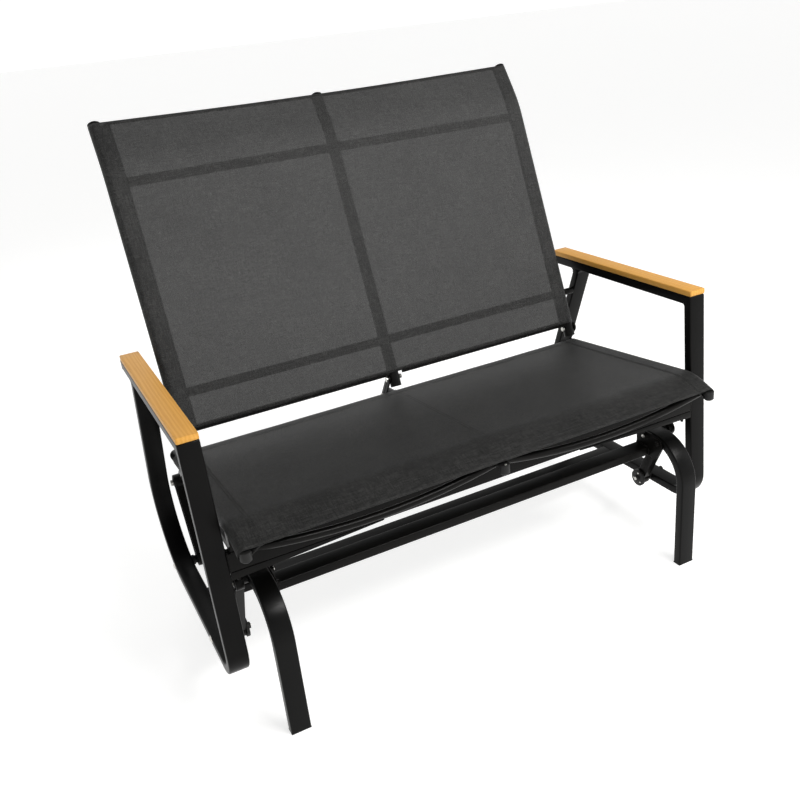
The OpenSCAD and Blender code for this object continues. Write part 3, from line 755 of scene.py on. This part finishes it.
parts = [bar_x(-XI, XI, 63, 345, 20, 40, 3.0)]
for s in (-1, 1):
    parts.append(bead(rect_loop(s * (XI - 0.7), 64.5, 82.4, 345.6, 384.4), 1.9, seed=31 + s, closed=True))
v, f, u = join(parts)
ob = new_object("front_cross_rail_tube", v, f, STEEL2, "seat_frame", uvs=u, sharp=42)
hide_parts("front_cross_rail")

v, f, u = bar_x(-XI, XI, 325.5, 113, 40, 20, 3.0)
ob = new_object("lower_cross_rail_tube", v, f, STEEL2, "seat_frame", uvs=u, sharp=42)
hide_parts("lower_cross_rail")

# welds of the seat rail supports and of the back crossbars
parts = []
for x in (-512, 0, 512):
    parts.append(bead([(x - 10, 63, 385.2), (x + 10, 63, 385.2), (x + 10, 83, 385.2), (x - 10, 83, 385.2)], 1.5, seed=int(x) + 61, closed=True))
BACK = [(449.1, 425), (658.9, 972.8), (658.9 + 0.7 * (1057.7 - 972.8), 1057.7)]


def back_y(z):
    return 449.1 + (z - 425) * 209.8 / 547.8


for z in (945, 527):
    for x, s in ((-492, 1), (0, -1), (0, 1), (492, -1)):
        parts.append(bead([(x + s * (12.4 - 0.0 + 2.6 * abs(math.cos(q)) ** 2 * 0), back_y(z) + 10.2 * math.cos(q), z + 10.2 * math.sin(q)) for q in np.linspace(0, 2 * math.pi, 22, endpoint=False)], 1.5, seed=int(z + x), closed=True))
v, f, u = join(parts)
new_object("frame_weld_beads", v, f, STEEL2, "seat_frame", uvs=u)



def dome(centre, axis, r, h, sides=14):
    """A small domed screw head standing on a face; axis is 0 for X, 2 for Z, its sign by h."""
    prof = [(r, 0.0), (r, 0.45), (r * 0.86, 0.78), (r * 0.55, 0.95), (r * 0.2, 1.0)]
    verts, uv = [], []
    for q, k in prof:
        for j in range(sides):
            w = 2 * math.pi * j / sides
            a, b = q * math.cos(w), q * math.sin(w)
            c = np.array(centre, float) + (np.array([h * k, a, b]) if axis == 0 else np.array([a, b, h * k]))
            verts.append(V(*c))
            uv.append((a * MM, b * MM))
    faces = []
    for i in range(len(prof) - 1):
        for j in range(sides):
            k = (j + 1) % sides
            faces.append((i * sides + j, i * sides + k, i * sides + sides + k, i * sides + sides + j))
    faces.append(tuple(range(sides - 1, -1, -1)))
    faces.append(tuple((len(prof) - 1) * sides + j for j in range(sides)))
    return verts, faces, uv


parts = []
for s in (-1, 1):
    for y in (345.5 - 150.5, 345.5 + 150.5):
        for k in range(3):
            q = math.radians(100 + 120 * k)
            parts.append(dome((s * (BO + 3.0), y + 13.0 * math.cos(q), 128 + 13.0 * math.sin(q)), 0, 2.3, -s * 1.4))
v, f, u = join(parts)
new_object("pivot_cover_screws", v, f, ZINC, "seat_frame", uvs=u, sharp=50)
v, f, u = dome((0.0, -9.4, 418.0), 2, 2.6, 1.3)
new_object("centre_boss_screw", v, f, ZINC, "seat_frame", uvs=u, sharp=50)

# --------------------------------------------------------------------------
# armrest planks
# --------------------------------------------------------------------------


def plank(side):
    prof = round_rect(39.8, 12, 1.8, 4)
    ys = [78.0, 78.5, 79.3, 80.6]
    ins = [1.6, 0.8, 0.3, 0.0]
    ring = [(y, i) for y, i in zip(ys, ins)] + [(80.6 + (563.4 - 80.6) * k / 12, 0.0) for k in range(1, 12)] + [(644 - y, i) for y, i in zip(ys[::-1], ins[::-1])]
    n = len(prof)
    verts, faces, uv = [], [], []
    for y, i in ring:
        sx, sz = (39.8 - 2 * i) / 39.8, (12 - 2 * i) / 12
        for a, b in prof:
            verts.append(V(side * 550 + a * sx, y, 610 + b * sz))
            uv.append((a * MM, y * MM))
    for k in range(len(ring) - 1):
        for j in range(n):
            m2 = (j + 1) % n
            faces.append((k * n + j, (k + 1) * n + j, (k + 1) * n + m2, k * n + m2))
    faces.append(tuple(range(n)))
    faces.append(tuple((len(ring) - 1) * n + j for j in range(n - 1, -1, -1)))
    name = "left" if side < 0 else "right"
    ob = new_object(name + "_armrest_plank", verts, faces, TEAK, "seat_frame", uvs=uv, sharp=50)
    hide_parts(name + "_armrest")


plank(-1)
plank(1)

# --------------------------------------------------------------------------
# slings
# --------------------------------------------------------------------------
TR = 12.7


def frames_of(path):
    """Arc length of a path."""
    return np.concatenate([[0], np.cumsum(np.linalg.norm(np.diff(path, axis=0), axis=1))])


def resample(path, tan, step, s0, s1):
    s = frames_of(path)
    n = max(2, int(round((s[-1] - s0 - s1) / step)))
    at = np.linspace(s0, s[-1] - s1, n + 1)
    p = np.stack([np.interp(at, s, path[:, k]) for k in (0, 1)], axis=1)
    t = np.stack([np.interp(at, s, tan[:, k]) for k in (0, 1)], axis=1)
    t /= np.linalg.norm(t, axis=1)[:, None]
    return at, p, t


def section(xt, sleeve, sign_top=1.0, gap=0.55):
    """Cross-section of a sling between side tubes at +-xt: list of (x, d, w), d in front of the tubes'
    middle plane, w the free share (1 = free cloth that may sag). It starts at one sewn edge behind."""
    r = TR + gap
    half = []
    inner = xt - TR - sleeve
    # behind: from the sewn edge to the tube's back
    for k in range(7):
        t = k / 6
        x = inner + (xt - inner) * t
        e = t * t * (3 - 2 * t)
        half.append((x, (r - 1.3) * (1 - e) - r * e, 0.0))
    # round the outer side of the tube
    for k in range(1, 16):
        q = -math.pi / 2 + math.pi * k / 16
        half.append((xt + r * math.cos(q), r * math.sin(q), 0.0))
    half.append((xt, r, 0.0))
    # front: to the middle
    n = 34
    xs = [xt - TR * 0.5, xt - TR, xt - TR - sleeve * 0.33, xt - TR - sleeve * 0.66, inner + 2.4, inner + 1.2, inner, inner - 1.2, inner - 3.0, inner - 5.4, inner - 6.6, inner - 7.8, inner - 12]
    for x in xs:
        half.append((x, r, 0.0))
    for k in range(1, n + 1):
        x = (inner - 12) * (1 - k / n)
        half.append((x, r, 1.0))
    return half  # ends at x = 0


DIP = {1.0: 6.0, -1.0: 0.0}  # the back's middle tube is shorter, so its top edge dips there


def dip_at(x, xt, s, length, flip):
    k = max(0.0, min(1.0, (s - (length - 110.0)) / 110.0))
    return DIP[flip] * k * k * (3 - 2 * k) * math.cos(math.pi / 2 * min(1.0, abs(x) / xt))


def bay_sag(x, xt):
    """0 at the middle tube and at the side tubes, 1 in mid-bay."""
    a = max(0.0, min(1.0, abs(x) / xt))
    return math.sin(math.pi * a) ** 1.0


def sling(name, node, mat, pts, radii, xt, sleeve, sag, s0, s1, flip, stitch_rows, hem_rows, edge_curve=0.0, ripple=0.0):
    path, tan = fillet_path(pts, radii, 2.0, 20)
    at, p, t = resample(path, tan, 7.0, s0, s1)
    sec = section(xt, sleeve)
    full = sec + [(-x, d, w) for x, d, w in sec[::-1][1:]]
    dev = [0.0]
    for i in range(1, len(full)):
        dev.append(dev[-1] + math.hypot(full[i][0] - full[i - 1][0], full[i][1] - full[i - 1][1]))
    dev = np.array(dev)
    nu, ns = len(full), len(at)
    rows_x = stitch_rows
    verts, uv, faces = [], [], []
    length = at[-1] - at[0]
    for i in range(ns):
        a = (at[i] - at[0]) / length
        nrm = np.array([-t[i][1], t[i][0]]) * flip
        env = math.sin(math.pi * min(1, max(0, a))) ** 0.45
        for j, (x, d, w) in enumerate(full):
            dd = d
            if d > TR * 0.3:
                g = bay_sag(x, xt)
                dd -= sag * g * (0.1 + 0.9 * env)
                if ripple:
                    dd += ripple * g * math.sin(x / 37.0 + a * 5.0) * math.sin(a * 9.0 + x / 61.0)
                # grooves along the sewn rows
                for rx in rows_x:
                    u = abs(abs(x) - rx)
                    if u < 2.2:
                        dd -= 0.45 * (1 - u / 2.2)
                # the cloth puckers a little at the hems
                for hs in hem_rows:
                    u = abs((at[i] - at[0]) - hs) if hs >= 0 else abs((at[-1] - at[i]) + hs)
                    if u < 3.5:
                        dd -= 0.35 * (1 - u / 3.5)
            q = p[i] + nrm * dd - t[i] * dip_at(x, xt, at[i] - at[0], length, flip)
            verts.append(V(x, q[0], q[1]))
            uv.append((dev[j] * MM, (at[i]) * MM))
    for i in range(ns - 1):
        for j in range(nu - 1):
            f = (i * nu + j, i * nu + j + 1, (i + 1) * nu + j + 1, (i + 1) * nu + j)
            faces.append(f)
    ob = new_object(name, verts, faces, mat, "seat_frame", uvs=uv)
    so = ob.modifiers.new("thickness", "SOLIDIFY")
    so.thickness = 0.0009
    so.offset = 0
    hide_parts(node)
    return ob, at, p, t, dev[-1], length


def surface_point(at, p, t, flip, s, x, xt, sag, lift):
    """A point on the front face of a sling, s along it and at x, raised by lift."""
    length = at[-1] - at[0]
    s = min(max(s, 0), length)
    a = s / length
    i = int(np.searchsorted(at - at[0], s) - 1)
    i = max(0, min(len(at) - 2, i))
    k = (s - (at[i] - at[0])) / (at[i + 1] - at[i])
    q = p[i] * (1 - k) + p[i + 1] * k
    tt = unit(t[i] * (1 - k) + t[i + 1] * k)
    nrm = np.array([-tt[1], tt[0]]) * flip
    env = math.sin(math.pi * min(1, max(0, a))) ** 0.45
    d = TR + 0.55 - sag * bay_sag(x, xt) * (0.1 + 0.9 * env) + lift
    q = q + nrm * d - tt * dip_at(x, xt, s, length, flip)
    return np.array([x, q[0], q[1]]), np.array([0, nrm[0], nrm[1]]), np.array([0, tt[0], tt[1]])


def stitches(name, rows, mat, body, length=3.4, gap=1.5, r=0.36):
    """rows: functions f(u) -> (point, normal) and their length; makes short raised thread stitches."""
    verts, faces, uv = [], [], []
    for fn, total in rows:
        n = int(total // (length + gap))
        for k in range(n):
            u0 = (k + 0.5) * total / n - length / 2
            prof = [(0.0, 0.12), (0.18, 0.8), (0.5, 1.0), (0.82, 0.8), (1.0, 0.12)]
            base = len(verts)
            for a, h in prof:
                pt, nr = fn(u0 + a * length)
                p2, _ = fn(u0 + a * length + 0.5)
                tg = unit(p2 - pt)
                sd = unit(np.cross(tg, nr))
                for j in range(6):
                    q = 2 * math.pi * j / 6
                    c = pt + sd * (r * math.cos(q) * (0.6 + 0.4 * h)) + nr * (r * math.sin(q) * 0.8 + h * 0.30)
                    verts.append(V(*c))
                    uv.append((u0 * MM, j * 0.1))
            for m in range(4):
                for j in range(6):
                    j2 = (j + 1) % 6
                    faces.append((base + m * 6 + j, base + m * 6 + j2, base + m * 6 + 6 + j2, base + m * 6 + 6 + j))
            faces.append(tuple(base + j for j in range(5, -1, -1)))
            faces.append(tuple(base + 24 + j for j in range(6)))
    return new_object(name, verts, faces, mat, body, uvs=uv)


def hem(name, mat, at, p, t, flip, s_from, s_to, xt, sleeve, sag, drop):
    """The second layer of a hem, folded behind the cloth."""
    inner = xt - TR - sleeve
    xs = np.linspace(-inner - 4, inner + 4, 73)
    ss = np.linspace(s_from, s_to, 6)
    verts, uv, faces = [], [], []
    for s in ss:
        for x in xs:
            q, nr, _ = surface_point(at, p, t, flip, s, x, xt, sag, -drop)
            verts.append(V(*q))
            uv.append((x * MM + 3.0, s * MM + 1.0))
    n = len(xs)
    for i in range(len(ss) - 1):
        for j in range(n - 1):
            faces.append((i * n + j, i * n + j + 1, (i + 1) * n + j + 1, (i + 1) * n + j))
    ob = new_object(name, verts, faces, mat, "seat_frame", uvs=uv)
    so = ob.modifiers.new("thickness", "SOLIDIFY")
    so.thickness = 0.0008
    so.offset = 0
    return ob


def fold(name, at, p, t, flip, s, xt, sag, drop=0.7, r=1.15):
    """The folded edge that joins the cloth to its hem, in a darker cloth than the sling: painted shade along the fold.
    """
    verts, uv, faces = [], [], []
    xs = np.linspace(-xt, xt, 97)
    for x in xs:
        q, nr, tg = surface_point(at, p, t, flip, s, x, xt, sag, -drop)
        for j in range(8):
            w = 2 * math.pi * j / 8
            verts.append(V(*(q + nr * r * math.cos(w) + tg * r * math.sin(w))))
            uv.append((x * MM, j * 0.001))
    n = len(xs)
    for i in range(n - 1):
        for j in range(8):
            k = (j + 1) % 8
            faces.append((i * 8 + j, i * 8 + k, i * 8 + 8 + k, i * 8 + 8 + j))
    faces.append(tuple(range(7, -1, -1)))
    faces.append(tuple((n - 1) * 8 + j for j in range(8)))
    return new_object(name, verts, faces, EDGE, "seat_frame", uvs=uv)


# back
SAG_B = 1.8
XB = 530 - 25.3 - TR
SL_B = 16.0
back, b_at, b_p, b_t, b_w, b_l = sling("back_sling_cloth", "back_sling", CLOTH_BACK, BACK, [0, 260, 0], XB, SL_B, SAG_B, 32.9, 3.4, 1.0,
                                       (XB - TR - SL_B + 1.5, XB - TR - SL_B + 6.5, 3.2, 9.2), (5, -5), ripple=0.3)
IN_B = XB - TR - SL_B
b_hems = [hem("back_sling_bottom_hem", CLOTH_BACK, b_at, b_p, b_t, 1.0, 0.3, 8, XB, SL_B, SAG_B, 1.4),
          hem("back_sling_top_hem", CLOTH_BACK, b_at, b_p, b_t, 1.0, b_l - 7, b_l - 0.3, XB, SL_B, SAG_B, 1.4)]


def row_s(at, p, t, flip, x, xt, sag, lift, s0):
    return lambda u: surface_point(at, p, t, flip, s0 + u, x, xt, sag, lift)[:2]


def row_x(at, p, t, flip, s, xt, sag, lift, x0):
    return lambda u: surface_point(at, p, t, flip, s, x0 + u, xt, sag, lift)[:2]


rows = []
for x in (IN_B + 1.5, IN_B + 6.5, -IN_B - 1.5, -IN_B - 6.5, 3.2, 9.2):
    rows.append((row_s(b_at, b_p, b_t, 1.0, x, XB, SAG_B, 0.25, 2), b_l - 4))
for s in (6, b_l - 5):
    rows.append((row_x(b_at, b_p, b_t, 1.0, s, XB, SAG_B, 0.25, -XB + 6), 2 * XB - 12))
b_thread = stitches("back_sling_stitching", rows, THREAD, "seat_frame")
b_folds = [fold("back_sling_top_fold", b_at, b_p, b_t, 1.0, b_l - 0.9, XB, SAG_B), fold("back_sling_bottom_fold", b_at, b_p, b_t, 1.0, 0.9, XB, SAG_B)]

# seat
SEAT = [(500, 390.465), (49.4, 434), (-7, 412.3)]
SAG_S = 2.5
XS = 530 - 5.3 - TR
SL_S = 20.0
seat, s_at, s_p, s_t, s_w, s_l = sling("seat_sling_cloth", "seat_sling", CLOTH_SEAT, SEAT, [0, 100, 0], XS, SL_S, SAG_S, 36.2, 4.0, -1.0,
                                       (XS - TR - SL_S + 1.5, XS - TR - SL_S + 6.5, 3.2, 9.2), (18, 24, -18, -25), ripple=0.4)
IN_S = XS - TR - SL_S
s_hems = [hem("seat_sling_rear_hem", CLOTH_SEAT, s_at, s_p, s_t, -1.0, 0.3, 23, XS, SL_S, SAG_S, 1.4),
          hem("seat_sling_front_hem", CLOTH_SEAT, s_at, s_p, s_t, -1.0, s_l - 25, s_l - 0.3, XS, SL_S, SAG_S, 1.4)]
rows = []
for x in (IN_S + 1.5, IN_S + 6.5, -IN_S - 1.5, -IN_S - 6.5, 3.2, 9.2):
    rows.append((row_s(s_at, s_p, s_t, -1.0, x, XS, SAG_S, 0.25, 2), s_l - 4))
for s in (18, 24, s_l - 18, s_l - 25):
    rows.append((row_x(s_at, s_p, s_t, -1.0, s, XS, SAG_S, 0.25, -XS + 6), 2 * XS - 12))
s_thread = stitches("seat_sling_stitching", rows, THREAD, "seat_frame")
s_folds = [fold("seat_sling_front_fold", s_at, s_p, s_t, -1.0, s_l - 0.9, XS, SAG_S), fold("seat_sling_rear_fold", s_at, s_p, s_t, -1.0, 0.9, XS, SAG_S)]

# --------------------------------------------------------------------------
# floor, light, camera
# --------------------------------------------------------------------------
fm = Mat("floor_paint")
fv = fm.coords("Object")
fm.link(fm.ramp(fm.noise(fv, 3, 4, 0.6), [(0.3, (0.56, 0.56, 0.557, 1)), (0.7, (0.58, 0.58, 0.577, 1))]), fm.p.inputs["Base Color"])
fm.p.inputs["Emission Color"].default_value = (1.0, 1.0, 0.995, 1)
fm.p.inputs["Emission Strength"].default_value = 0.66
fm.p.inputs["Roughness"].default_value = 0.7
floor = new_object("floor", [(-60, -60, 0), (60, -60, 0), (60, 60, 0), (-60, 60, 0)], [(0, 1, 2, 3)], fm.m, None, smooth=False)

world = bpy.data.worlds.new("studio")
bpy.context.scene.world = world
world.use_nodes = True
wt = world.node_tree
wt.nodes.clear()
wo = wt.nodes.new("ShaderNodeOutputWorld")
bg = wt.nodes.new("ShaderNodeBackground")
# white at the horizon, dimmer overhead, like a room with white walls
wc = wt.nodes.new("ShaderNodeTexCoord")
ws = wt.nodes.new("ShaderNodeSeparateXYZ")
wr = wt.nodes.new("ShaderNodeValToRGB")
wr.color_ramp.elements[0].position = 0.26
wr.color_ramp.elements[0].color = (1.0, 1.0, 0.995, 1)
wr.color_ramp.elements[1].position = 0.52
wr.color_ramp.elements[1].color = (0.30, 0.30, 0.30, 1)
wt.links.new(wc.outputs["Generated"], ws.inputs[0])
wt.links.new(ws.outputs[2], wr.inputs[0])
wt.links.new(wr.outputs[0], bg.inputs[0])
bg.inputs[1].default_value = 1.1
wt.links.new(bg.outputs[0], wo.inputs[0])


def area(name, loc, target, size, power, color=(1, 1, 1), size_y=None):
    d = bpy.data.lights.new(name, "AREA")
    d.energy = power
    d.color = color
    d.shape = "RECTANGLE"
    d.size = size
    d.size_y = size_y or size
    o = bpy.data.objects.new(name, d)
    bpy.context.collection.objects.link(o)
    o.location = loc
    o.rotation_euler = (Vector(target) - Vector(loc)).to_track_quat("-Z", "Y").to_euler()
    return o


area("key", (1.0, -1.95, 2.45), (0, 0, 0.4), 1.9, 84, (1.0, 0.99, 0.975), 0.42)
area("fill", (2.3, -1.1, 1.1), (0, 0, 0.5), 1.2, 7, (0.98, 0.99, 1.0))
area("top_back", (-0.4, 2.4, 2.8), (0, 0.1, 0.4), 2.6, 26, (1.0, 1.0, 1.0))

cd = bpy.data.cameras.new("photo_camera")
cam = bpy.data.objects.new("photo_camera", cd)
bpy.context.collection.objects.link(cam)
right = Vector((0.8859414, -0.4535284, -0.0970555))
down = Vector((-0.2678179, -0.3294086, -0.905408))
fwd = Vector((0.3786574, 0.8281316, -0.4132997))
rot = Matrix((right, -down, -fwd)).transposed()
cam.matrix_world = Matrix.Translation((-0.76644, (-1253.81 - YM) * MM, 1.21519)) @ rot.to_4x4()
cd.sensor_width = 36
cd.sensor_fit = "HORIZONTAL"
cd.lens = 877.5 / 800 * 36
cd.shift_x = -0.0044
cd.shift_y = 0.0099
cd.clip_start = 0.05
cd.clip_end = 200
bpy.context.scene.camera = cam
view = bpy.context.scene.view_settings
view.view_transform = "Standard"
view.look = "None"
view.exposure = 0.0
view.gamma = 1.0
